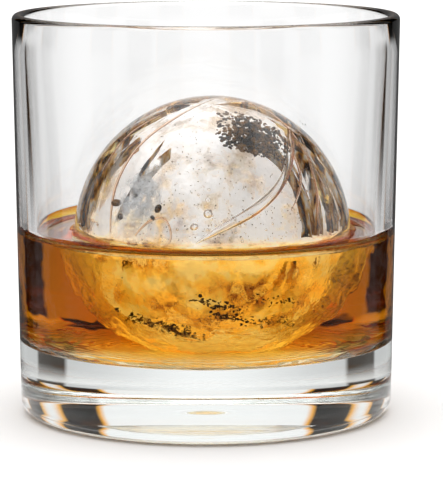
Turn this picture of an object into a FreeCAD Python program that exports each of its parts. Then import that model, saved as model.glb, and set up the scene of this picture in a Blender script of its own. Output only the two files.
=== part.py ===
"""Whisky on the rocks: a heavy-based tumbler, the whisky in it and one large ball of ice.

Units are millimetres, +Z is up, and the origin is the centre of the ring on which the glass stands.
Three solids: the tumbler, the whisky up to its level, and the ice ball that stands in it on the floor.
Every piece is a solid of revolution, the ice ball about its own upright axis beside the glass's.
"""

import FreeCAD
import Part

import math
import os

from FreeCAD import Vector

# Tumbler: outer body
GLASS_HEIGHT = 85.5
RIM_OUTER_RADIUS = 41.2
HEEL_OUTER_RADIUS = 39.8
HEEL_ROUND = 3.0

# Tumbler: underside, a flat standing ring round a shallow hollow with the mould's mark in its middle
STANDING_RING_WIDTH = 4.0
HOLLOW_DEPTH = 2.4
MARK_RADIUS = 4.0
MARK_DEPTH = 0.6

# Tumbler: cavity
RIM_WALL = 2.4
FOOT_WALL = 4.7
FLOOR_HEIGHT = 15.0
FLOOR_CORNER_ROUND = 4.0

# Whisky
WHISKY_DEPTH = 23.7
MENISCUS_ROUND = 1.8

# Ice ball: a dome that stands out of the whisky, and a smaller melted ball below its surface
ICE_OFFSET_X = 1.4
ICE_WALL_CLEARANCE = 5.2
ICE_MELT = 5.5
ICE_FOOT_FLAT = 2.0
ICE_LEDGE_ROUND = 0.8
ICE_LEDGE_DEPTH = 1.4

# What follows from these
STANDING_RING_OUTER = HEEL_OUTER_RADIUS - HEEL_ROUND
STANDING_RING_INNER = STANDING_RING_OUTER - STANDING_RING_WIDTH
CORNER_HEIGHT = FLOOR_HEIGHT + FLOOR_CORNER_ROUND
WHISKY_LEVEL = FLOOR_HEIGHT + WHISKY_DEPTH


def point(radius, height, axis_x=0.0):
    """A point of a profile that lies in the X-Z plane, at a radius from an upright axis."""
    return Vector(axis_x + radius, 0, height)


def line(a, b):
    return Part.LineSegment(a, b).toShape()


def arc(a, through, b):
    return Part.Arc(a, through, b).toShape()


def arc_about(centre, radius, start_deg, end_deg):
    """An arc of a circle in the X-Z plane. Degrees run from +X towards +Z."""
    def at(degrees):
        turn = math.radians(degrees)
        return centre + Vector(radius * math.cos(turn), 0, radius * math.sin(turn))

    return arc(at(start_deg), at((start_deg + end_deg) / 2), at(end_deg))


def revolve(edges, axis_x=0.0):
    """A solid of revolution about an upright axis, from the edges of a closed profile in order."""
    face = Part.Face(Part.Wire(edges))
    return face.revolve(Vector(axis_x, 0, 0), Vector(0, 0, 1), 360)


def outer_radius(height):
    """Radius of the tumbler's outer wall, which widens evenly to the rim."""
    share = height / GLASS_HEIGHT
    return HEEL_OUTER_RADIUS + (RIM_OUTER_RADIUS - HEEL_OUTER_RADIUS) * share


def inner_radius(height):
    """Radius of the cavity's wall, which widens evenly from the floor's corner to the rim."""
    foot_inner = outer_radius(CORNER_HEIGHT) - FOOT_WALL
    rim_inner = outer_radius(GLASS_HEIGHT) - RIM_WALL
    share = (height - CORNER_HEIGHT) / (GLASS_HEIGHT - CORNER_HEIGHT)
    return foot_inner + (rim_inner - foot_inner) * share


CAVITY_FOOT_RADIUS = inner_radius(CORNER_HEIGHT)

# The dome keeps its clearance to the wall at the whisky's level, on the side that it stands towards.
ICE_DOME_RADIUS = inner_radius(WHISKY_LEVEL) - ICE_WALL_CLEARANCE - ICE_OFFSET_X
ICE_SUNK_RADIUS = ICE_DOME_RADIUS - ICE_MELT
ICE_CENTRE_HEIGHT = FLOOR_HEIGHT + ICE_SUNK_RADIUS - ICE_FOOT_FLAT


def corner_edges():
    """The cavity's rounded corner, from the wall down to the flat floor, and where it starts and ends."""
    top = point(CAVITY_FOOT_RADIUS, CORNER_HEIGHT)
    low = point(CAVITY_FOOT_RADIUS - FLOOR_CORNER_ROUND, FLOOR_HEIGHT)
    middle = point(CAVITY_FOOT_RADIUS - FLOOR_CORNER_ROUND, CORNER_HEIGHT)
    return [arc_about(middle, FLOOR_CORNER_ROUND, 0, -90)], top, low


def hollow_height(radius):
    """Height of the underside's hollow, a cap of a large sphere that meets the standing ring's inner edge."""
    sphere = (STANDING_RING_INNER ** 2 + HOLLOW_DEPTH ** 2) / (2 * HOLLOW_DEPTH)
    return HOLLOW_DEPTH - sphere + math.sqrt(sphere ** 2 - radius ** 2)


def tumbler():
    """One piece of glass: thick base with a hollow underside, wall that thins upwards, round rim."""
    mark_edge = point(MARK_RADIUS, hollow_height(MARK_RADIUS))
    mark_half = point(MARK_RADIUS / 2, hollow_height(MARK_RADIUS / 2) + MARK_DEPTH * 0.75)
    mark_top = point(0, HOLLOW_DEPTH + MARK_DEPTH)
    hollow_half_radius = (MARK_RADIUS + STANDING_RING_INNER) / 2
    hollow_half = point(hollow_half_radius, hollow_height(hollow_half_radius))
    hollow_edge = point(STANDING_RING_INNER, 0)

    heel_low = point(STANDING_RING_OUTER, 0)
    heel_top = point(outer_radius(HEEL_ROUND), HEEL_ROUND)
    heel_turn = HEEL_ROUND * (1 - math.sqrt(0.5))
    heel_middle = point(outer_radius(HEEL_ROUND) - heel_turn, heel_turn)

    rim_seat = GLASS_HEIGHT - RIM_WALL / 2
    rim_outer = point(outer_radius(rim_seat), rim_seat)
    rim_inner = point(inner_radius(rim_seat), rim_seat)
    rim_top = point((rim_outer.x + rim_inner.x) / 2, GLASS_HEIGHT)

    corner, corner_top, corner_low = corner_edges()
    floor_middle = point(0, FLOOR_HEIGHT)
    return revolve([
        arc(mark_top, mark_half, mark_edge),
        arc(mark_edge, hollow_half, hollow_edge),
        line(hollow_edge, heel_low),
        arc(heel_low, heel_middle, heel_top),
        line(heel_top, rim_outer),
        arc(rim_outer, rim_top, rim_inner),
        line(rim_inner, corner_top),
        *corner,
        line(corner_low, floor_middle),
        line(floor_middle, mark_top),
    ])


def ice_ball():
    """The dome, an undercut ledge just below the whisky's surface, and the smaller ball down to the floor."""
    axis = ICE_OFFSET_X
    centre = point(0, ICE_CENTRE_HEIGHT, axis)
    drop = ICE_CENTRE_HEIGHT - FLOOR_HEIGHT
    rise = WHISKY_LEVEL - ICE_CENTRE_HEIGHT
    ledge_height = WHISKY_LEVEL - ICE_LEDGE_DEPTH
    dome_foot_radius = math.sqrt(ICE_DOME_RADIUS ** 2 - rise ** 2)
    dome_turn = math.degrees(math.asin(rise / ICE_DOME_RADIUS))
    sunk_start = -math.degrees(math.asin(drop / ICE_SUNK_RADIUS))
    sunk_end = math.degrees(math.asin((ledge_height - ICE_CENTRE_HEIGHT) / ICE_SUNK_RADIUS))
    # The lip bulges half way between the ledge's edge and the dome's foot.
    bulge = 1 - math.sqrt(0.5)
    foot_middle = point(0, FLOOR_HEIGHT, axis)
    foot_edge = point(math.sqrt(ICE_SUNK_RADIUS ** 2 - drop ** 2), FLOOR_HEIGHT, axis)
    ledge_inner = point(ICE_SUNK_RADIUS * math.cos(math.radians(sunk_end)), ledge_height, axis)
    ledge_outer = point(dome_foot_radius - ICE_LEDGE_ROUND, ledge_height, axis)
    lip = point(dome_foot_radius - ICE_LEDGE_ROUND * bulge, ledge_height + ICE_LEDGE_DEPTH * bulge, axis)
    dome_foot = point(dome_foot_radius, WHISKY_LEVEL, axis)
    crown = point(0, ICE_CENTRE_HEIGHT + ICE_DOME_RADIUS, axis)
    return revolve([
        line(foot_middle, foot_edge),
        arc_about(centre, ICE_SUNK_RADIUS, sunk_start, sunk_end),
        line(ledge_inner, ledge_outer),
        arc(ledge_outer, lip, dome_foot),
        arc_about(centre, ICE_DOME_RADIUS, dome_turn, 90),
        line(crown, foot_middle),
    ], axis)


def ice_meniscus():
    """The ring of whisky that climbs the ice, a hollow-sided fillet round the dome."""
    axis = ICE_OFFSET_X
    top_height = WHISKY_LEVEL + MENISCUS_ROUND
    dome_at_top = math.sqrt(ICE_DOME_RADIUS ** 2 - (top_height - ICE_CENTRE_HEIGHT) ** 2)
    outer = dome_at_top + MENISCUS_ROUND
    inside = dome_at_top - MENISCUS_ROUND
    centre = point(outer, top_height, axis)
    low_outer = point(outer, WHISKY_LEVEL, axis)
    top = point(dome_at_top, top_height, axis)
    top_inside = point(inside, top_height, axis)
    low_inside = point(inside, WHISKY_LEVEL - MENISCUS_ROUND, axis)
    low_outside = point(outer, WHISKY_LEVEL - MENISCUS_ROUND, axis)
    return revolve([
        arc_about(centre, MENISCUS_ROUND, -90, -180),
        line(top, top_inside),
        line(top_inside, low_inside),
        line(low_inside, low_outside),
        line(low_outside, low_outer),
    ], axis)


def whisky(ice):
    """The drink: the cavity filled to its level, risen a little at the wall and the ice, less the ice."""
    corner, corner_top, corner_low = corner_edges()
    floor_middle = point(0, FLOOR_HEIGHT)
    top_height = WHISKY_LEVEL + MENISCUS_ROUND
    wall_top = point(inner_radius(top_height), top_height)
    turn_centre = point(inner_radius(top_height) - MENISCUS_ROUND, top_height)
    level_edge = point(inner_radius(top_height) - MENISCUS_ROUND, WHISKY_LEVEL)
    level_middle = point(0, WHISKY_LEVEL)
    fill = revolve([
        line(level_middle, level_edge),
        arc_about(turn_centre, MENISCUS_ROUND, -90, 0),
        line(wall_top, corner_top),
        *corner,
        line(corner_low, floor_middle),
        line(floor_middle, level_middle),
    ])
    return fill.fuse(ice_meniscus()).cut(ice).removeSplitter()


def save(shape, node):
    """Writes one node's solid and says what it is."""
    solid = shape.Solids[0]
    solid.exportStep(os.path.join("parts", node + ".step"))
    box = solid.BoundBox
    print(node, "solids", len(shape.Solids), "valid", shape.isValid(), "volume", round(solid.Volume),
          "z", round(box.ZMin, 3), round(box.ZMax, 3), "x", round(box.XMin, 3), round(box.XMax, 3))


os.makedirs("parts", exist_ok=True)
ICE = ice_ball()
save(tumbler(), "tumbler")
save(ICE, "ice_ball")
save(whisky(ICE), "whisky")
print("ice ball radius", round(ICE_DOME_RADIUS, 2), "sunk", round(ICE_SUNK_RADIUS, 2),
      "centre height", round(ICE_CENTRE_HEIGHT, 2), "cavity foot", round(CAVITY_FOOT_RADIUS, 2))
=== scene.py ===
"""Whisky on the rocks: a heavy tumbler of whisky with one large ball of clear ice in it."""

import math
import random

import bpy
from mathutils import Matrix, Vector


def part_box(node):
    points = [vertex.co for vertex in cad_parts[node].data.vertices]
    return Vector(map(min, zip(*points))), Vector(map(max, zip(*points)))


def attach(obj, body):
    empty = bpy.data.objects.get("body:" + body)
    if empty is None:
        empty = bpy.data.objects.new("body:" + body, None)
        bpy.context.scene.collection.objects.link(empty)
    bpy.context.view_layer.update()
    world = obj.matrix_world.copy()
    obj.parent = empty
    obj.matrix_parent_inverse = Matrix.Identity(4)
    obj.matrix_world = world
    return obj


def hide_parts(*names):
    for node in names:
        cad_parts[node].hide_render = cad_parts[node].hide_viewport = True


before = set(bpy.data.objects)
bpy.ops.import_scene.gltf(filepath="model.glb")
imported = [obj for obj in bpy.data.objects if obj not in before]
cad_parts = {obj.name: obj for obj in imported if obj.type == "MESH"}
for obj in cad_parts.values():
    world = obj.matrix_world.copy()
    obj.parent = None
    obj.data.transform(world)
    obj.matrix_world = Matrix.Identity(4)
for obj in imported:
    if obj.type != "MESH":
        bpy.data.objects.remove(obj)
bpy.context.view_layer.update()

# Sizes, in millimetres, of the glass as its maker would give them
MM = 0.001
HEEL_OUTER_RADIUS = 39.8
HEEL_ROUND = 3.0
STANDING_RING_WIDTH = 4.0
HOLLOW_DEPTH = 2.4
MARK_RADIUS = 4.0
MARK_DEPTH = 0.6
RIM_OUTER_RADIUS = 41.2
RIM_WALL = 2.4
FOOT_WALL = 4.7
FLOOR_CORNER_ROUND = 4.0

# The whisky and the ice in it
MENISCUS_ROUND = 1.8
ICE_MELT = 5.5
ICE_LEDGE_DEPTH = 1.4
ICE_LIP_DROP = 0.4      # how far below the whisky's level the dome's lip lies
ICE_LIP_INSET = 0.7     # how far inside the lip the ledge under it starts
ICE_FOOT_GAP = 0.06     # how far the ice stands clear of the glass's floor
MELT_WAVES = 2.2        # height of the sunk ice's waves, from trough to crest, and of its ripples
MELT_RIPPLES = 0.8
WALL_REACH = 0.1        # how far the whisky reaches into the glass, and half of it over the ice

# Places that come from the frame
ICE_LOW, ICE_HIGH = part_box("ice_ball")
GLASS_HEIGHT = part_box("tumbler")[1][2] / MM
FLOOR_HEIGHT = ICE_LOW[2] / MM
WHISKY_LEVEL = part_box("whisky")[1][2] / MM - MENISCUS_ROUND
ICE_DOME_RADIUS = (ICE_HIGH[0] - ICE_LOW[0]) / 2 / MM
ICE_SUNK_RADIUS = ICE_DOME_RADIUS - ICE_MELT
ICE_AXIS_X = (ICE_HIGH[0] + ICE_LOW[0]) / 2 / MM
ICE_CENTRE_HEIGHT = ICE_HIGH[2] / MM - ICE_DOME_RADIUS

# Turned pieces
SEGMENTS = 192
POLE = 0.15             # radius of the small disc that closes a turned piece on its axis

# The cloudy heart of the ice: radius and height of its rings, from the foot up
HEART_RINGS = [(POLE, 18), (9, 18.5), (15, 22), (18.5, 28), (19, 34), (17.5, 40), (15.5, 46), (12.5, 51.5),
               (8, 55.5), (POLE, 57.5)]
# How much the heart hides and how strong its painted glow is, first in the whisky and then in the dome
HEART_COVER = (0.65, 0.95)
HEART_PAINTED_GLOW = (0.95, 0.38)

# Cracks in the ice
SHELL_RADIUS = 25.3
SHELL_MELT = 0.17               # how much smaller, as a share, the shell is where it is sunk
SHEETS = 104
SHEET_RADIUS = 28.3
SHEET_THICKNESS = 0.12
SHEET_HINGE = 25                # distance from the ice's axis of the line that a sheet twists about
WINDOW = 45                     # degrees on each side of the front that the sheets leave clear

# Splits and seams under the front of the ice: places across and up, and the share of the full radius there
SPLIT_RADIUS = 1.05
LONG_SPLIT = ((17.0, 60.0, 0.5), (17.2, 57.5, 1.0), (16.6, 54.0, 0.8), (14.4, 50.2, 0.9), (10.5, 47.0, 1.1),
              (6.5, 44.8, 1.0), (2.0, 42.5, 0.7), (-2.0, 40.2, 0.15))
SEAM_RADIUS = 0.32
SEAMS = (((-19, 41, 0.5), (-19, 47, 1), (-17, 53, 1), (-13, 58.5, 1), (-5, 63.5, 1), (2, 65.5, 0.3)),
         ((19, 59, 0.4), (21, 54, 1), (22.5, 48, 1.2), (22, 44, 1), (23, 41, 0.6)),
         ((15, 60, 0.3), (18, 56, 1), (19.5, 50, 1), (17, 46, 0.5)),
         ((-14, 41, 0.4), (-12, 44, 1), (-8, 45.5, 0.6), (-6.5, 41, 0.8), (-7.5, 39.8, 0.4)),
         ((-21, 52, 0.3), (-17, 58, 1), (-11, 62, 1), (-9, 63, 0.2)),
         ((8, 65.5, 0.3), (14, 62.5, 1), (19.5, 57, 0.8), (24, 49, 0.5)))

# The flat frosted patch: across from the ice's axis, up and deep, and its half sizes
PATCH = (-14.6, 48.4, 2.2)
PATCH_SIZE = (5.4, 7.4, 0.5)

# Dark specks. The field is a thick patch of them: its middle across and up, and how far it spreads.
SPECK_FIELD = (10.0, 60.0)
SPECK_FIELD_SPREAD = (4.2, 2.6)
SPECK_FIELD_COUNT = 820
LOOSE_SPECKS = 620
# Big single specks: across, up, size
BIG_SPECKS = ((-17.9, 47.0, 1.3), (-9.5, 46.7, 1.1), (-17.0, 44.5, 0.7), (-10.6, 44.9, 0.6))
# Clusters in the sunk ice: across, up, spread, count, largest size
GRAINS = ((2.6, 26.5, 1.5, 90, 0.45), (3.6, 24.0, 1.2, 50, 0.4), (-9, 21.5, 1.9, 130, 0.42),
          (-5, 19.6, 1.5, 100, 0.42), (9.5, 22.5, 1.8, 80, 0.4), (12.5, 27, 1.5, 40, 0.35))

# Round bubbles: across, up, size
BUBBLES = ((0.4, 46.0, 0.95), (-2.3, 43.4, 0.85), (0.4, 48.6, 0.55), (0.6, 50.6, 0.35), (-1.4, 49.6, 0.28))
SMALL_BUBBLES = 60

# How light bends in each clear thing, its tint, and how fast the tint deepens with each metre
GLASS_IOR = 1.52
WHISKY_IOR = 1.36
ICE_IOR = 1.31
SHELL_IOR = 1.16
SEAM_IOR = 1.6
AIR_IN_ICE_IOR = 0.763
FROST_IOR = 1.2
GLASS_TINT = (0.80, 0.86, 0.84, 1)
GLASS_DENSITY = 6.0
WHISKY_TINT = (0.95, 0.73, 0.01, 1)
WHISKY_DENSITY = 120.0
# A paler, thinner tint for the whisky's top and its climb round the ice: painted light, the same whisky shown
# lighter on its top
PAINTED_PALE_TOP_TINT = (0.97, 0.86, 0.30, 1)
PAINTED_PALE_TOP_DENSITY = 60.0
SEAM_TINT = (0.9, 0.5, 0.1, 1)
SEAM_DENSITY = 1500.0

# Fine unevenness: the pattern's scale and its depth in metres
GLASS_BUMP = (60, 0.0002)
GLASS_RINGS = 0.4
DOME_BUMP = (220, 0.00006)
SUNK_BUMP = (500, 0.0002)


def grey(level):
    return (level, level, level, 1)


# The studio: rings of four or eight panels. Their stops run from the middle of a gap, at 0, to the middle of
# a panel, at 1.
FLOOR_SIZE = 8
FLOOR_DROP = 0.0002
FLOOR_FADE = (0.045, 0.075)
GAP = (0.03, 0.018, 0.01, 1)
WIDE_PANELS = [(0.0, GAP), (0.07, GAP), (0.11, grey(0.62)), (0.5, grey(0.72)), (0.8, grey(0.85)),
               (1.0, grey(1))]
NARROW_PANELS = [(0.0, grey(0.01)), (0.22, grey(0.01)), (0.27, (0.75, 0.33, 0.05, 1)), (0.33, grey(0.85)),
                 (1.0, grey(1))]
RAISED_PANELS = [(0.0, grey(0.9)), (0.04, (0.9, 0.45, 0.08, 1)), (0.07, grey(0.01)), (0.42, grey(0.01)),
                 (0.46, (0.9, 0.42, 0.06, 1)), (0.52, grey(0.95)), (1.0, grey(1))]
PANEL_LIGHT = 1.04
TOP_LIGHT = 2.2
BACKDROP = 1.0
MIRRORED_LOSS = 0.87
# How far up a direction points, from -1 to 1, where one kind of light gives way to the next
LOW_BAND = (-0.25, -0.19)
RAISED_BAND = (0.02, 0.08)
MIRRORED_BAND = (0.3, 0.6)
TOP_BAND = (0.45, 0.75)

# The camera
CAMERA_PLACE = (0, -0.638, 0.129)
CAMERA_LENS = 221.2
SENSOR_WIDTH = 36
CAMERA_DOWN = 8.31
CAMERA_ASIDE = -0.297


# Shapes

def deselect():
    bpy.ops.object.select_all(action="DESELECT")


def pick(piece):
    """Makes one piece the only one that an operator works on."""
    deselect()
    piece.select_set(True)
    bpy.context.view_layer.objects.active = piece


def settle(name):
    """Names the primitive just added, and moves its place, turn and size into its mesh."""
    piece = bpy.context.object
    piece.name = name
    bpy.ops.object.transform_apply(location=True, rotation=True, scale=True)
    return piece


def modified(piece, kind, **settings):
    """Adds a modifier to the picked piece and applies it."""
    step = piece.modifiers.new(kind.lower(), kind)
    for name, setting in settings.items():
        setattr(step, name, setting)
    bpy.ops.object.modifier_apply(modifier=step.name)


def bend(centre, radius, start, end, steps):
    """Points of an arc in a turned piece's outline. Degrees run from outwards to upwards."""
    turns = [math.radians(start + (end - start) * i / steps) for i in range(steps + 1)]
    return [(centre[0] + radius * math.cos(t), centre[1] + radius * math.sin(t)) for t in turns]


def straight(a, b, steps):
    return [(a[0] + (b[0] - a[0]) * i / steps, a[1] + (b[1] - a[1]) * i / steps) for i in range(steps + 1)]


def joined(*runs):
    """One outline from several runs of points, without the points that they share."""
    points = []
    for run in runs:
        for point in run:
            if not points or math.dist(points[-1], point) > 1e-4:
                points.append(point)
    return points


def turned(name, outline, axis_x=0.0, segments=SEGMENTS, smooth=30):
    """A solid turned on an upright axis: a disc at the outline's first point, pulled out ring by ring."""
    deselect()
    radius, height = outline[0]
    bpy.ops.mesh.primitive_circle_add(vertices=segments, radius=radius * MM, fill_type="NGON",
                                      location=(axis_x * MM, 0, height * MM))
    piece = settle(name)
    bpy.ops.object.mode_set(mode="EDIT")
    bpy.ops.mesh.select_mode(type="FACE")
    bpy.ops.mesh.select_all(action="SELECT")
    for (radius, height), (next_radius, next_height) in zip(outline, outline[1:]):
        bpy.ops.mesh.extrude_region_move(
            TRANSFORM_OT_translate={"value": (0, 0, (next_height - height) * MM)})
        grow = next_radius / radius
        bpy.ops.transform.resize(value=(grow, grow, 1), center_override=(axis_x * MM, 0, next_height * MM))
    bpy.ops.mesh.select_all(action="SELECT")
    bpy.ops.mesh.normals_make_consistent(inside=False)
    bpy.ops.object.mode_set(mode="OBJECT")
    bpy.ops.object.shade_smooth_by_angle(angle=math.radians(smooth))
    return piece


def outer_radius(height):
    return HEEL_OUTER_RADIUS + (RIM_OUTER_RADIUS - HEEL_OUTER_RADIUS) * height / GLASS_HEIGHT


def inner_radius(height):
    low = FLOOR_HEIGHT + FLOOR_CORNER_ROUND
    foot_inner = outer_radius(low) - FOOT_WALL
    rim_inner = outer_radius(GLASS_HEIGHT) - RIM_WALL
    return foot_inner + (rim_inner - foot_inner) * (height - low) / (GLASS_HEIGHT - low)


CAVITY_FOOT_RADIUS = inner_radius(FLOOR_HEIGHT + FLOOR_CORNER_ROUND)


def make_glass():
    ring_inner = HEEL_OUTER_RADIUS - HEEL_ROUND - STANDING_RING_WIDTH
    cap_radius = (ring_inner ** 2 + HOLLOW_DEPTH ** 2) / (2 * HOLLOW_DEPTH)
    mark_turn = math.degrees(math.acos(MARK_RADIUS / cap_radius))
    ring_turn = math.degrees(math.acos(ring_inner / cap_radius))
    hollow = bend((0, HOLLOW_DEPTH - cap_radius), cap_radius, mark_turn, ring_turn, 24)
    mark = [(share * MARK_RADIUS, hollow[0][1] + MARK_DEPTH * (1 - share * share))
            for share in (POLE / MARK_RADIUS, 0.2, 0.4, 0.6, 0.8, 1)]
    heel = bend((outer_radius(HEEL_ROUND) - HEEL_ROUND, HEEL_ROUND), HEEL_ROUND, -90, 0, 10)
    ring = straight((ring_inner, 0), heel[0], 2)
    rim_round = RIM_WALL / 2
    rim_seat = GLASS_HEIGHT - rim_round
    rim = bend((outer_radius(rim_seat) - rim_round, rim_seat), rim_round, 0, 180, 16)
    corner = bend((CAVITY_FOOT_RADIUS - FLOOR_CORNER_ROUND, FLOOR_HEIGHT + FLOOR_CORNER_ROUND),
                  FLOOR_CORNER_ROUND, 0, -90, 12)
    outside = straight(heel[-1], rim[0], 12)
    inside = straight(rim[-1], corner[0], 12)
    floor = straight(corner[-1], (POLE, FLOOR_HEIGHT), 16)
    return turned("glass", joined(mark, hollow, ring, heel, outside, rim, inside, corner, floor))


def ice_outline():
    """The ice from its flat foot, up the melted part, out along the ledge and over the dome."""
    centre = (0, ICE_CENTRE_HEIGHT)
    foot_height = FLOOR_HEIGHT + ICE_FOOT_GAP
    foot_turn = -math.degrees(math.asin((ICE_CENTRE_HEIGHT - foot_height) / ICE_SUNK_RADIUS))
    foot_radius = ICE_SUNK_RADIUS * math.cos(math.radians(foot_turn))
    foot = straight((POLE, foot_height), (foot_radius, foot_height), 10)
    ledge_height = WHISKY_LEVEL - ICE_LEDGE_DEPTH
    ledge_turn = math.degrees(math.asin((ledge_height - ICE_CENTRE_HEIGHT) / ICE_SUNK_RADIUS))
    melted = bend(centre, ICE_SUNK_RADIUS, foot_turn, ledge_turn, 36)
    lip_turn = math.degrees(math.asin((WHISKY_LEVEL - ICE_LIP_DROP - ICE_CENTRE_HEIGHT) / ICE_DOME_RADIUS))
    crown = bend(centre, ICE_DOME_RADIUS, lip_turn, 90 - math.degrees(POLE / ICE_DOME_RADIUS), 60)
    ledge = straight(melted[-1], (crown[0][0] - ICE_LIP_INSET, ledge_height), 6)
    return joined(foot, melted, ledge, crown)


def roughen(piece, size, strength, share=None):
    """Moves a piece's surface in and out by a cloudy pattern. share gives each point's part of it."""
    pick(piece)
    pattern = bpy.data.textures.new("pattern", "CLOUDS")
    pattern.noise_scale = size * MM
    settings = {"texture": pattern, "texture_coords": "LOCAL", "strength": strength * MM, "mid_level": 0.5}
    if share:
        group = piece.vertex_groups.new(name="share")
        for point in piece.data.vertices:
            group.add([point.index], share(point.co / MM), "REPLACE")
        settings["vertex_group"] = group.name
    modified(piece, "DISPLACE", **settings)
    piece.vertex_groups.clear()
    bpy.data.textures.remove(pattern)


def smooth_step(low, high, value):
    share = min(max((value - low) / (high - low), 0), 1)
    return share * share * (3 - 2 * share)


def sunk_share(place):
    """How rough the ice is at a point: nothing on the dome and the foot, all on the melted side."""
    below = 1 - smooth_step(WHISKY_LEVEL - 4, WHISKY_LEVEL - 1.6, place.z)
    return below * smooth_step(FLOOR_HEIGHT + 0.3, FLOOR_HEIGHT + 3, place.z)


def make_ice():
    piece = turned("ice", ice_outline(), ICE_AXIS_X, segments=200, smooth=60)
    roughen(piece, size=9, strength=MELT_WAVES, share=sunk_share)
    roughen(piece, size=3, strength=MELT_RIPPLES, share=sunk_share)
    return piece


def in_ice(x, height, depth):
    """The point at a depth under the front of the ice, at a place across from the ice's own axis."""
    surface = ICE_SUNK_RADIUS - (MELT_WAVES + MELT_RIPPLES) / 2
    if height > WHISKY_LEVEL - ICE_LEDGE_DEPTH:
        surface = ICE_DOME_RADIUS
    reach = surface - depth
    rise = height - ICE_CENTRE_HEIGHT
    return Vector((x + ICE_AXIS_X, -math.sqrt(max(reach * reach - x * x - rise * rise, 0.0)), height))


def make_heart():
    """The cloudy middle of the ice: wide under the whisky, narrower in the dome."""
    piece = turned("ice_heart", HEART_RINGS, ICE_AXIS_X, segments=48)
    pick(piece)
    modified(piece, "SUBSURF", levels=2, render_levels=2)
    roughen(piece, size=11, strength=4)
    roughen(piece, size=3, strength=0.9)
    bpy.ops.object.shade_smooth()
    return piece


def make_shell():
    """Old cracks close under the surface, long facets that run from the foot of the dome to its top."""
    deselect()
    bpy.ops.mesh.primitive_uv_sphere_add(segments=26, ring_count=9, radius=SHELL_RADIUS * MM,
                                         location=(ICE_AXIS_X * MM, 0, ICE_CENTRE_HEIGHT * MM))
    piece = settle("ice_cracks")
    chance = random.Random(7)
    middle = Vector((ICE_AXIS_X, 0, ICE_CENTRE_HEIGHT)) * MM
    for point in piece.data.vertices:
        out = point.co - middle
        below = 1 - smooth_step(-4, 3, out.z / MM)
        size = 1 + chance.uniform(-0.055, 0.045) - SHELL_MELT * below
        turn = chance.uniform(-0.09, 0.09)
        point.co = middle + Vector((out.x * math.cos(turn) - out.y * math.sin(turn),
                                    out.x * math.sin(turn) + out.y * math.cos(turn), out.z)) * size
    modified(piece, "BEVEL", width=0.35 * MM, segments=2, limit_method="NONE")
    bpy.ops.object.shade_smooth_by_angle(angle=math.radians(12))
    return piece


def make_sheet():
    """One thin crack: a curved strip that stands on end beside the ice's axis, above its middle."""
    deselect()
    bpy.ops.mesh.primitive_circle_add(vertices=120, radius=SHEET_RADIUS * MM, rotation=(math.pi / 2, 0, 0))
    sheet = settle("sheet")
    bpy.ops.object.mode_set(mode="EDIT")
    bpy.ops.mesh.select_all(action="SELECT")
    bpy.ops.mesh.extrude_edges_move(TRANSFORM_OT_translate={"value": (0.3 * MM, 0, -0.4 * MM)})
    bpy.ops.transform.resize(value=(0.9, 1, 0.9), center_override=(0, 0, 0))
    for place, normal in (((0, 0, 2.6 * MM), (0, 0, 1)), ((14 * MM, 0, 0), (1, 0, -0.1))):
        bpy.ops.mesh.select_all(action="SELECT")
        bpy.ops.mesh.bisect(plane_co=place, plane_no=normal, clear_inner=True)
    bpy.ops.object.mode_set(mode="OBJECT")
    modified(sheet, "SOLIDIFY", thickness=SHEET_THICKNESS * MM)
    return sheet


def make_sheets():
    """Thin cracks that stand on end close under the dome's surface, like the skins in an orange."""
    sheet = make_sheet()
    chance = random.Random(11)
    hinge = Matrix.Translation((SHEET_HINGE * MM, 0, 0))
    hinge_back = Matrix.Translation((-SHEET_HINGE * MM, 0, 0))
    ice_middle = Matrix.Translation((ICE_AXIS_X * MM, 0, ICE_CENTRE_HEIGHT * MM))
    front = math.radians(270)
    places = []
    for i in range(SHEETS):
        turn = (i + chance.uniform(-0.4, 0.4)) / SHEETS * math.tau
        if abs((turn - front + math.pi) % math.tau - math.pi) < math.radians(WINDOW):
            continue
        size = chance.uniform(0.80, 0.95)
        lean = Matrix.Rotation(chance.uniform(-0.3, 0.3), 4, "X")
        twist = hinge @ Matrix.Rotation(chance.uniform(-0.5, 0.5), 4, "Z") @ hinge_back
        middle = ice_middle @ Matrix.Rotation(turn, 4, "Z")
        places.append(middle @ Matrix.Scale(size, 4) @ twist @ lean)
        if chance.random() < 0.8:
            over = Matrix.Rotation(math.pi, 4, "X")
            places.append(middle @ Matrix.Scale(size * 0.74, 4) @ twist @ over @ lean)
    piece = scattered("ice_sheets", sheet, places)
    roughen(piece, size=6, strength=0.8)
    return piece


def scattered(name, pattern, places):
    """Copies of one small piece at many places, joined into one piece."""
    copies = []
    for place in places:
        copy = pattern.copy()
        copy.data = pattern.data.copy()
        copy.data.transform(place)
        bpy.context.collection.objects.link(copy)
        copies.append(copy)
    bpy.data.objects.remove(pattern)
    pick(copies[0])
    for copy in copies:
        copy.select_set(True)
    bpy.ops.object.join()
    piece = bpy.context.object
    piece.name = name
    bpy.ops.object.shade_smooth()
    return piece


def grain(detail):
    """A ball of one millimetre's radius, to be scattered."""
    deselect()
    bpy.ops.mesh.primitive_ico_sphere_add(subdivisions=detail, radius=MM)
    return bpy.context.object


def spot(place, size, chance, flat=1.0):
    """Where one small piece goes: its place, a chance turn and its size."""
    turn = Matrix.Rotation(chance.uniform(0, math.tau), 4, (chance.uniform(-1, 1), chance.uniform(-1, 1), 1))
    shape = Matrix.Diagonal((size, size * chance.uniform(0.6, 1), size * flat, 1))
    return Matrix.Translation(place * MM) @ turn @ shape


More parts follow.
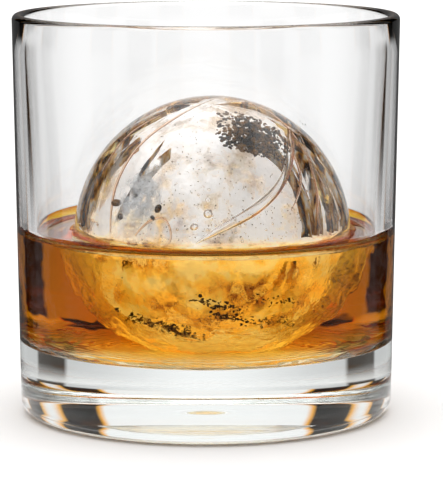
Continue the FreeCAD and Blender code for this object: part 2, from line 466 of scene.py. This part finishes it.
def make_specks():
    """Dark specks, thick in one field at the upper right of the dome and thin elsewhere."""
    chance = random.Random(3)
    places = []
    while len(places) < SPECK_FIELD_COUNT:
        x, height = (chance.gauss(middle, spread) for middle, spread in zip(SPECK_FIELD, SPECK_FIELD_SPREAD))
        along = (x - SPECK_FIELD[0]) * 0.35 + (height - SPECK_FIELD[1])
        if abs(along) > 3.4 or not 2 < x < 17.5 or math.hypot(x, height - ICE_CENTRE_HEIGHT) > 27:
            continue
        place = in_ice(x - ICE_AXIS_X, height, chance.uniform(0.8, 2.5))
        places.append(spot(place, chance.uniform(0.12, 0.62), chance, 0.6))
    for _ in range(LOOSE_SPECKS):
        x, height = chance.uniform(-17, 20), chance.uniform(40, 63)
        place = in_ice(x, height, chance.uniform(0.7, 3))
        places.append(spot(place, chance.uniform(0.05, 0.19), chance, 0.5))
    for x, height, size in BIG_SPECKS:
        places.append(spot(in_ice(x - ICE_AXIS_X, height, 1.6), size, chance, 0.6))
    for x, height, spread, count, size in GRAINS:
        for _ in range(count):
            shift = chance.gauss(0, spread)
            place = in_ice(x + shift * 1.6 - ICE_AXIS_X, height - shift * 0.5 + chance.gauss(0, spread * 0.4),
                           chance.uniform(0.5, 2))
            places.append(spot(place, chance.uniform(0.12, size), chance, 0.5))
    return scattered("ice_specks", grain(2), places)


def make_bubbles():
    """A few round bubbles of air near the front of the dome."""
    chance = random.Random(5)
    places = [spot(in_ice(x - ICE_AXIS_X, height, 1.8), size, chance) for x, height, size in BUBBLES]
    for _ in range(SMALL_BUBBLES):
        x, height = chance.gauss(3, 7), chance.uniform(40, 52)
        place = in_ice(x, height, chance.uniform(1, 4))
        places.append(spot(place, chance.uniform(0.12, 0.3), chance))
    return scattered("ice_bubbles", grain(3), places)


def make_patch():
    """A flat frosted patch low on the left of the dome, where the ice froze last."""
    place = in_ice(*PATCH)
    out = (place - Vector((ICE_AXIS_X, 0, ICE_CENTRE_HEIGHT))).normalized()
    deselect()
    bpy.ops.mesh.primitive_ico_sphere_add(subdivisions=5, radius=MM, scale=PATCH_SIZE)
    piece = settle("ice_patch")
    piece.data.transform(Matrix.Translation(place * MM) @ out.to_track_quat("Z", "Y").to_matrix().to_4x4())
    roughen(piece, size=3, strength=1.6)
    bpy.ops.object.shade_smooth()
    return piece


def make_splits(name, radius, routes):
    """Splits under the front of the ice. A route gives places across and up, and shares of the radius."""
    curve = bpy.data.curves.new(name, "CURVE")
    curve.dimensions = "3D"
    curve.bevel_depth = radius * MM
    curve.bevel_resolution = 3
    curve.resolution_u = 8
    for route in routes:
        line = curve.splines.new("NURBS")
        line.points.add(len(route) - 1)
        for point, (x, height, share) in zip(line.points, route):
            point.co = (*(in_ice(x - ICE_AXIS_X, height, 1.6) * MM), 1)
            point.radius = share
        line.order_u = 3
        line.use_endpoint_u = True
    piece = bpy.data.objects.new(name, curve)
    bpy.context.collection.objects.link(piece)
    pick(piece)
    bpy.ops.object.convert(target="MESH")
    return bpy.context.object


def combine(piece, other, operation):
    """Joins other to piece or cuts it from piece, and deletes other."""
    pick(piece)
    modified(piece, "BOOLEAN", operation=operation, solver="EXACT", object=other)
    bpy.data.objects.remove(other)


def make_drink(ice):
    """The whisky up to its level, with its climb at the wall and round the ice, and room for the ice."""
    top = WHISKY_LEVEL + MENISCUS_ROUND
    low = FLOOR_HEIGHT - WALL_REACH
    foot = CAVITY_FOOT_RADIUS + WALL_REACH
    corner_round = FLOOR_CORNER_ROUND + WALL_REACH
    corner = bend((foot - corner_round, low + corner_round), corner_round, -90, 0, 12)
    wall = straight(corner[-1], (inner_radius(top) + WALL_REACH, top), 6)
    edge = bend((inner_radius(top) - MENISCUS_ROUND, top), MENISCUS_ROUND, 0, -90, 8)
    surface = straight(edge[-1], (POLE, WHISKY_LEVEL), 8)
    floor = straight((foot - 8, low), corner[0], 2)
    body = turned("drink", joined([(POLE, low)], floor, corner, wall, edge, surface), smooth=40)
    dome_at_top = math.sqrt(ICE_DOME_RADIUS ** 2 - (top - ICE_CENTRE_HEIGHT) ** 2)
    climb_foot = dome_at_top + MENISCUS_ROUND
    climb = bend((climb_foot, top), MENISCUS_ROUND, -90, -180, 8)
    ring = joined([(climb_foot, WHISKY_LEVEL - 1)], climb, [(dome_at_top - 2, top)])
    combine(body, turned("climb", ring, ICE_AXIS_X, smooth=40), "UNION")
    room = ice.copy()
    room.data = ice.data.copy()
    bpy.context.collection.objects.link(room)
    pick(room)
    bpy.ops.object.mode_set(mode="EDIT")
    bpy.ops.mesh.select_all(action="SELECT")
    bpy.ops.transform.shrink_fatten(value=-WALL_REACH / 2 * MM)
    bpy.ops.object.mode_set(mode="OBJECT")
    combine(body, room, "DIFFERENCE")
    pick(body)
    bpy.ops.object.shade_smooth_by_angle(angle=math.radians(35))
    return body


# Finishes

class Wire:
    """A value in a finish's nodes. Arithmetic on it adds Math nodes."""

    def __init__(self, finish, socket):
        self.finish = finish
        self.socket = socket

    def math(self, operation, first, second):
        return self.finish.add("ShaderNodeMath", {"operation": operation}, {0: first, 1: second})

    def __add__(self, other):
        return self.math("ADD", self, other)

    def __radd__(self, other):
        return self.math("ADD", other, self)

    def __sub__(self, other):
        return self.math("SUBTRACT", self, other)

    def __rsub__(self, other):
        return self.math("SUBTRACT", other, self)

    def __mul__(self, other):
        return self.math("MULTIPLY", self, other)

    def __rmul__(self, other):
        return self.math("MULTIPLY", other, self)


class Finish:
    """The nodes of one material, or of the studio's light."""

    def __init__(self, tree):
        self.tree = tree
        tree.nodes.clear()

    def add(self, kind, settings=None, values=None, output=0):
        """Adds one node: its settings first, then the values or links of its sockets."""
        node = self.tree.nodes.new(kind)
        for name, setting in (settings or {}).items():
            if name == "stops":
                ramp = node.color_ramp.elements
                while len(ramp) > 1:
                    ramp.remove(ramp[-1])
                ramp[0].position, ramp[0].color = setting[0]
                for place, colour in setting[1:]:
                    ramp.new(place).color = colour
            else:
                setattr(node, name, setting)
        for name, value in (values or {}).items():
            socket = node.inputs[name]
            if isinstance(value, Wire):
                self.tree.links.new(value.socket, socket)
            else:
                socket.default_value = value
        return Wire(self, node.outputs[output]) if node.outputs else node

    def place(self):
        return self.add("ShaderNodeTexCoord", output="Object")

    def noise(self, place, scale, detail):
        return self.add("ShaderNodeTexNoise", values={"Vector": place, "Scale": scale, "Detail": detail})

    def colours(self, value, stops):
        return self.add("ShaderNodeValToRGB", {"stops": stops}, {0: value}, output="Color")

    def blend(self, share, first, second):
        return self.add("ShaderNodeMix", {"data_type": "RGBA"}, {0: share, 6: first, 7: second}, output=2)

    def ranged(self, value, span, start=0.0, end=1.0, ease="LINEAR"):
        """Goes from start to end while a value crosses the span."""
        return self.add("ShaderNodeMapRange", {"interpolation_type": ease}, {
            "Value": value, "From Min": span[0], "From Max": span[1], "To Min": start, "To Max": end})

    def eased(self, value, span, start=0.0, end=1.0):
        return self.ranged(value, span, start, end, "SMOOTHSTEP")

    def bump(self, height, depth):
        return self.add("ShaderNodeBump", values={"Height": height, "Strength": 1.0, "Distance": depth})

    def along(self, direction, axis):
        return self.add("ShaderNodeSeparateXYZ", values={0: direction}, output=axis)

    def solid(self, **values):
        """A surface that hides or shines, from its sockets' names with _ for a space."""
        sockets = {name.replace("_", " "): value for name, value in values.items()}
        return self.add("ShaderNodeBsdfPrincipled", values=sockets)

    def close(self, **outputs):
        self.add("ShaderNodeOutputMaterial", values=outputs)


def material(name):
    made = bpy.data.materials.new(name)
    made.use_nodes = True
    return made, Finish(made.node_tree)


def clear(name, ior, tint=None, density=0.0, wetted=False, roughness=0.0, bump=None, rings=0.0):
    """Something light passes through. A wetted face meets another clear piece and has no sheen of its own."""
    made, finish = material(name)
    values = {"Base_Color": (1, 1, 1, 1), "Roughness": roughness, "IOR": ior, "Transmission_Weight": 1.0}
    if wetted:
        values["Specular_Tint"] = (0, 0, 0, 1)
    if bump:
        scale, depth = bump
        place = finish.place()
        waves = finish.noise(place, scale, 3.0)
        if rings:
            waves = waves + rings * finish.add(
                "ShaderNodeTexWave", {"wave_type": "RINGS", "rings_direction": "Z"},
                {"Vector": place, "Scale": 110.0, "Distortion": 3.0, "Detail": 2.0}, output="Fac")
        values["Normal"] = finish.bump(waves, depth)
    outputs = {"Surface": finish.solid(**values)}
    if tint:
        depth_of_colour = {"Color": tint, "Density": density}
        outputs["Volume"] = finish.add("ShaderNodeVolumeAbsorption", values=depth_of_colour)
    finish.close(**outputs)
    return made


def frosted_ice_with_painted_glow():
    """Ice full of fine air, white in the dome and gold in the whisky. Its glow is painted light: it gives off
    light of its own as if lit from behind. The gold under the whisky is painted whisky-coloured light.
    """
    made, finish = material("cloudy ice with painted glow")
    place = finish.place()
    clouds = finish.noise(place, 120.0, 6.0)
    grains = finish.noise(place, 700.0, 4.0)
    white = finish.colours(clouds, [
        (0.38, (0.55, 0.46, 0.39, 1)), (0.45, (0.84, 0.80, 0.76, 1)), (0.55, (1, 0.99, 0.98, 1))])
    # gold under the whisky: painted whisky-coloured light, not a colour of the ice itself
    painted_whisky_gold = finish.colours(clouds, [
        (0.37, (0.32, 0.09, 0.004, 1)), (0.435, (0.95, 0.50, 0.07, 1)), (0.53, (1, 0.72, 0.22, 1)),
        (0.60, (1, 0.92, 0.66, 1))])
    level_band = ((WHISKY_LEVEL - 3) * MM, (WHISKY_LEVEL + 2) * MM)
    dry = finish.ranged(finish.along(place, 2), level_band)
    tone = finish.blend(dry, painted_whisky_gold, white)
    # painted glow: the heart gives off light in its own tone, whisky gold under the whisky and white in the
    # dome
    painted_glow = finish.blend(HEART_PAINTED_GLOW[0] + dry * (HEART_PAINTED_GLOW[1] - HEART_PAINTED_GLOW[0]), (0, 0, 0, 1), tone)
    cover = (HEART_COVER[0] + dry * (HEART_COVER[1] - HEART_COVER[0])) * \
        finish.ranged(clouds * 0.6 + grains * 0.4, (0.38, 0.52), 0.35, 1.0)
    relief = finish.bump(clouds + grains * 0.3, 0.001)
    finish.close(Surface=finish.solid(Base_Color=tone, Roughness=0.6, IOR=FROST_IOR, Alpha=cover,
                                      Normal=relief, Emission_Color=painted_glow, Emission_Strength=1.0))
    return made


def frosted_window(middle):
    """A flat frosted patch with the blue of thick ice."""
    made, finish = material("frosted patch")
    place = finish.place()
    frost = finish.noise(place, 420.0, 5.0)
    tone = finish.colours(frost, [(0.38, (0.50, 0.54, 0.58, 1)), (0.52, (0.92, 0.95, 0.98, 1))])
    away = finish.add("ShaderNodeVectorMath", {"operation": "DISTANCE"}, {0: place, 1: middle * MM},
                      output="Value")
    cover = finish.ranged(frost, (0.40, 0.56), 0.0, 0.8) * finish.eased(away, (2.5 * MM, 6.5 * MM), 1, 0)
    finish.close(Surface=finish.solid(
        Base_Color=tone, Roughness=0.3, IOR=FROST_IOR, Alpha=cover, Normal=finish.bump(frost, 0.0008)))
    return made


def cracks_with_painted_light():
    """Old cracks in broken streaks of painted shade in dark brown, painted whisky-gold light and painted
    white glints.
    """
    made, finish = material("cracks with painted shade and glints")
    drawn_out = finish.add("ShaderNodeMapping", values={"Vector": finish.place(), "Scale": (1, 1, 0.4)})
    # dark brown is painted shade, gold is painted whisky light, white is painted glint
    tone = finish.colours(finish.noise(drawn_out, 330.0, 4.0), [
        (0.40, (0.006, 0.003, 0.001, 1)), (0.46, (0.12, 0.04, 0.005, 1)), (0.50, (0.62, 0.26, 0.03, 1)),
        (0.55, (0.98, 0.66, 0.25, 1)), (0.61, (1, 0.97, 0.93, 1))])
    cover = finish.ranged(finish.noise(drawn_out, 150.0, 3.0), (0.46, 0.52), 0.0, 0.9)
    finish.close(Surface=finish.solid(Base_Color=tone, Roughness=0.25, IOR=FROST_IOR, Alpha=cover))
    return made


def dark_specks():
    # Specks inside the ice, near black to dark brown.
    made, finish = material("dark specks")
    speck_noise = finish.noise(finish.place(), 500.0, 2.0)
    tone = finish.colours(speck_noise, [(0.4, (0.01, 0.007, 0.004, 1)), (0.62, (0.22, 0.11, 0.03, 1))])
    finish.close(Surface=finish.solid(Base_Color=tone, Roughness=0.25))
    return made


def dress(piece, *finishes, which=None):
    """Gives a piece its finishes. which picks a face's finish from the face's middle and normal."""
    piece.data.materials.clear()
    for finish in finishes:
        piece.data.materials.append(finish)
    if which:
        for face in piece.data.polygons:
            face.material_index = int(which(face.center / MM, face.normal))


def glass_is_wet(place, normal):
    inside = math.hypot(place.x, place.y) < inner_radius(place.z) + 0.5
    return inside and FLOOR_HEIGHT - 0.5 < place.z < WHISKY_LEVEL + 0.6


def ice_is_wet(place, normal):
    return place.z < WHISKY_LEVEL


def drink_face(place, normal):
    """0 on the drink's top, 1 at the wall, the floor and the sunk ice, 2 where it climbs the dome."""
    from_ice = math.hypot(place.x - ICE_AXIS_X, place.y)
    if place.z > WHISKY_LEVEL + 0.03 and from_ice < ICE_DOME_RADIUS + 2.2:
        return 2
    return normal.z < 0.05 or place.z < WHISKY_LEVEL - 0.8


# The studio

def studio_floor():
    """A plain pale floor. A little way out from the glass, only the camera still sees it."""
    deselect()
    bpy.ops.mesh.primitive_plane_add(size=FLOOR_SIZE, location=(0, 0, -FLOOR_DROP))
    floor = bpy.context.object
    floor.name = "studio_floor"
    made, finish = material("studio floor")
    surface = finish.solid(Base_Color=grey(0.80), Roughness=0.9)
    away = finish.add("ShaderNodeVectorMath", {"operation": "LENGTH"}, {0: finish.place()}, output="Value")
    seen = finish.add("ShaderNodeLightPath", output="Is Camera Ray")
    share = finish.eased(away, FLOOR_FADE) * (1 - seen)
    nothing = finish.add("ShaderNodeBsdfTransparent")
    finish.close(Surface=finish.add("ShaderNodeMixShader", values={0: share, 1: surface, 2: nothing}))
    dress(floor, made)


def studio_light():
    """A ring of tall soft panels with dark gaps between them, and a broad soft light overhead."""
    world = bpy.data.worlds.new("studio")
    bpy.context.scene.world = world
    world.use_nodes = True
    finish = Finish(world.node_tree)
    direction = finish.add("ShaderNodeTexCoord", output="Generated")
    across, along, height = (finish.along(direction, axis) for axis in range(3))
    turn = finish.add("ShaderNodeMath", {"operation": "ARCTAN2"}, {0: across, 1: along})
    four, eight = (finish.add("ShaderNodeMath", {"operation": "COSINE"}, {0: turn * times}) * 0.5 + 0.5
                   for times in (4, 8))
    panels = finish.blend(finish.eased(height, LOW_BAND, 1, 0), finish.colours(four, WIDE_PANELS),
                          finish.colours(eight, NARROW_PANELS))
    panels = finish.blend(finish.eased(height, RAISED_BAND), panels, finish.colours(four, RAISED_PANELS))
    overhead = finish.eased(height, TOP_BAND)
    mirrored = finish.add("ShaderNodeLightPath", output="Is Glossy Ray") * \
        finish.add("ShaderNodeLightPath", output="Is Reflection Ray")
    loss = mirrored * finish.eased(height, MIRRORED_BAND, 1, 0) * MIRRORED_LOSS
    level = (PANEL_LIGHT * (1 - overhead) + overhead * TOP_LIGHT) * (1 - loss)
    colour = finish.blend(overhead, panels, grey(1))
    seen = finish.add("ShaderNodeLightPath", output="Is Camera Ray")
    light = finish.add("ShaderNodeBackground", values={
        "Color": finish.blend(seen, colour, grey(1)), "Strength": level * (1 - seen) + seen * BACKDROP})
    finish.add("ShaderNodeOutputWorld", values={"Surface": light})


def camera():
    """A long lens, a little above the glass, turned so that the glass stands left of the middle."""
    data = bpy.data.cameras.new("camera")
    data.sensor_width = SENSOR_WIDTH
    data.lens = CAMERA_LENS
    eye = bpy.data.objects.new("camera", data)
    bpy.context.collection.objects.link(eye)
    eye.location = CAMERA_PLACE
    eye.rotation_euler = (math.radians(90 - CAMERA_DOWN), 0, math.radians(CAMERA_ASIDE))
    bpy.context.scene.camera = eye


camera()
glass = make_glass()
ice = make_ice()
drink = make_drink(ice)
heart = make_heart()
shell = make_shell()
sheets = make_sheets()
specks = make_specks()
bubbles = make_bubbles()
split = make_splits("ice_split", SPLIT_RADIUS, [LONG_SPLIT])
seams = make_splits("ice_seams", SEAM_RADIUS, SEAMS)
patch = make_patch()

dress(glass, clear("clear glass", GLASS_IOR, GLASS_TINT, GLASS_DENSITY),
      clear("wetted glass", GLASS_IOR, GLASS_TINT, GLASS_DENSITY, wetted=True, bump=GLASS_BUMP,
            rings=GLASS_RINGS), which=glass_is_wet)
# The top and the climb round the ice take the paler tint: a painted lighter top of the same whisky
dress(drink, clear("amber whisky", WHISKY_IOR, PAINTED_PALE_TOP_TINT, PAINTED_PALE_TOP_DENSITY),
      clear("amber whisky at the wall", WHISKY_IOR, WHISKY_TINT, WHISKY_DENSITY, wetted=True),
      clear("amber whisky at the ice", WHISKY_IOR, PAINTED_PALE_TOP_TINT, PAINTED_PALE_TOP_DENSITY, wetted=True), which=drink_face)
dress(ice, clear("clear ice", ICE_IOR, bump=DOME_BUMP),
      clear("clear ice under the whisky", ICE_IOR, wetted=True, bump=SUNK_BUMP), which=ice_is_wet)
dress(heart, frosted_ice_with_painted_glow())
dress(shell, clear("cracks in the ice", SHELL_IOR))
dress(sheets, cracks_with_painted_light())
dress(specks, dark_specks())
dress(bubbles, clear("air bubbles", AIR_IN_ICE_IOR))
dress(split, clear("split in the ice", AIR_IN_ICE_IOR, roughness=0.02))
dress(seams, clear("seams in the ice", SEAM_IOR, SEAM_TINT, SEAM_DENSITY))
dress(patch, frosted_window(in_ice(*PATCH)))
for piece, node, slot in ((glass, "tumbler", "glass"), (drink, "whisky", "whisky"), (ice, "ice_ball", "ice")):
    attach(piece, "root")
    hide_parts(node)
for piece in (heart, shell, sheets, specks, bubbles, split, seams, patch):
    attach(piece, "root")
studio_floor()
studio_light()

scene = bpy.context.scene
scene.view_settings.view_transform = "Standard"
scene.cycles.max_bounces = 32
scene.cycles.transmission_bounces = 32
scene.cycles.glossy_bounces = 16
scene.cycles.transparent_max_bounces = 32
scene.cycles.use_denoising = True
